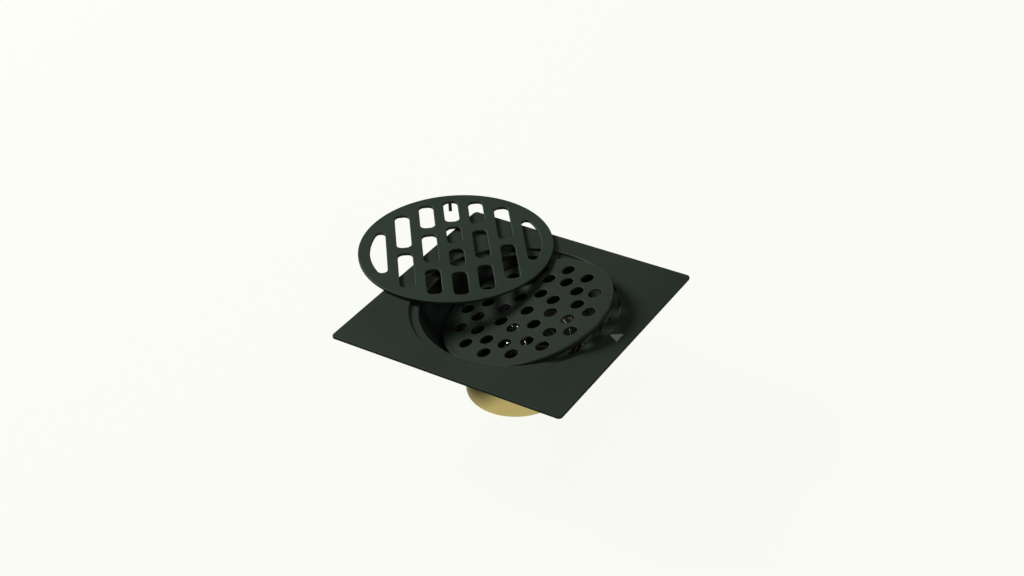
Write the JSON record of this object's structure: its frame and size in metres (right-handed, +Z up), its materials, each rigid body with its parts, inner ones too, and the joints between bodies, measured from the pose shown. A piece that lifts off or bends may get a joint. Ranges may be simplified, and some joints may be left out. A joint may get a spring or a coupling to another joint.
{
  "type": "floor drain grate",
  "caption": "Square floor drain with a round slotted cover, a perforated strainer leaning in its bowl, a plain outlet spigot and a spring-closed odour trap.",
  "frame": {"origin": "centre of the outlet spigot's lower rim, on the drain's axis", "axes": "+Z up along the drain's axis towards the panel, +X and +Y along the panel's sides; the cover lies off the opening towards -X +Y"},
  "size_m": [0.1306, 0.1114, 0.045],
  "materials": {
    "black_panel": "satin black coating over brass",
    "black_cover": "satin black coating over brass",
    "black_strainer": "satin black coating over brass",
    "brass": "bare satin brass",
    "steel": "plain stainless",
    "dark_plastic": "moulded, satin",
    "rubber": "matt"
  },
  "bodies": {
    "drain_body": {"panel": "black_panel", "bowl": "brass", "outlet_spigot": "brass"},
    "cover": {"cover_grille": "black_cover", "cover_lug_far": "black_cover", "cover_lug_near": "black_cover"},
    "strainer": {"strainer_disc": "black_strainer"},
    "trap": {"trap_housing": "dark_plastic", "trap_flange_gasket": "rubber", "trap_side_oring": "rubber", "stem_guide": "dark_plastic", "stem_bush": "brass", "return_spring": "steel"},
    "valve": {"valve_stem": "steel", "spring_retainer": "steel", "retainer_nut": "steel", "valve_disc": "dark_plastic", "valve_seal": "rubber", "seal_clamp_plate": "steel", "disc_screw": "steel"}
  },
  "joints": [
    {"name": "cover_lift", "type": "slide", "parent": "drain_body", "child": "cover", "axis": [0, 0, 1], "range_m": [0, 0.06]},
    {"name": "strainer_seat", "type": "hinge", "parent": "drain_body", "child": "strainer", "pos_m": [-0.00431, -0.00205, 0.05468], "axis": [-0.4305, 0.9026, 0], "range_deg": [0, 15.3]},
    {"name": "trap_lift", "type": "slide", "parent": "drain_body", "child": "trap", "axis": [0, 0, 1], "range_m": [0, 0.003]},
    {"name": "valve_open", "type": "slide", "parent": "trap", "child": "valve", "axis": [0, 0, -1], "range_m": [0, 0.0035], "stiffness_N_per_m": 100, "springref_m": -0.004, "deforming": ["return_spring"]}
  ]
}
